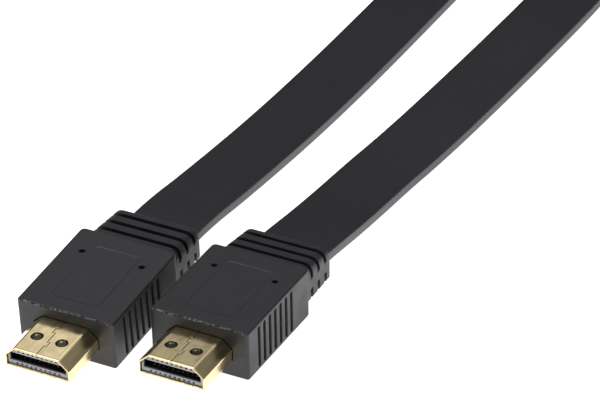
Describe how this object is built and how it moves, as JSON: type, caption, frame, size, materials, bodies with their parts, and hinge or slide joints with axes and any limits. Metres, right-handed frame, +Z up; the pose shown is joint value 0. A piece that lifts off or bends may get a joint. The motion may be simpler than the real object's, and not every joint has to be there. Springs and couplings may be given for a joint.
{
  "type": "flat video cable",
  "caption": "Flat ribbon-shaped video cable with a moulded plug at each end, laid out with its spare length coiled on edge and tied.",
  "frame": {"origin": "on the base of plug B's overmould, under the middle of its body", "axes": "+Z up off the base, +Y from the plugs' mouths towards the cord, +X across the plugs"},
  "size_m": [0.1388, 0.2905, 0.0171],
  "materials": {
    "overmould": "fine matt moulded plastic",
    "cord_jacket": "smooth satin jacket",
    "gold_shell": "bright gold plating",
    "contact": "gold plating",
    "insulator": "matt moulded plastic",
    "tie": "woven hook-and-loop strap"
  },
  "bodies": {
    "root": {"plug_a_overmould": "overmould", "plug_a_shell": "gold_shell", "plug_a_contact_carrier": "insulator", "plug_a_contact_01": "contact", "plug_a_contact_02": "contact", "plug_a_contact_03": "contact", "plug_a_contact_04": "contact", "plug_a_contact_05": "contact", "plug_a_contact_06": "contact", "plug_a_contact_07": "contact", "plug_a_contact_08": "contact", "plug_a_contact_09": "contact", "plug_a_contact_10": "contact", "plug_a_contact_11": "contact", "plug_a_contact_12": "contact", "plug_a_contact_13": "contact", "plug_a_contact_14": "contact", "plug_a_contact_15": "contact", "plug_a_contact_16": "contact", "plug_a_contact_17": "contact", "plug_a_contact_18": "contact", "plug_a_contact_19": "contact", "plug_b_overmould": "overmould", "plug_b_shell": "gold_shell", "plug_b_contact_carrier": "insulator", "plug_b_contact_01": "contact", "plug_b_contact_02": "contact", "plug_b_contact_03": "contact", "plug_b_contact_04": "contact", "plug_b_contact_05": "contact", "plug_b_contact_06": "contact", "plug_b_contact_07": "contact", "plug_b_contact_08": "contact", "plug_b_contact_09": "contact", "plug_b_contact_10": "contact", "plug_b_contact_11": "contact", "plug_b_contact_12": "contact", "plug_b_contact_13": "contact", "plug_b_contact_14": "contact", "plug_b_contact_15": "contact", "plug_b_contact_16": "contact", "plug_b_contact_17": "contact", "plug_b_contact_18": "contact", "plug_b_contact_19": "contact", "cord_lead_a": "cord_jacket", "cord_lead_b": "cord_jacket", "cord_coil": "cord_jacket", "cord_tie": "tie"}
  },
  "joints": []
}
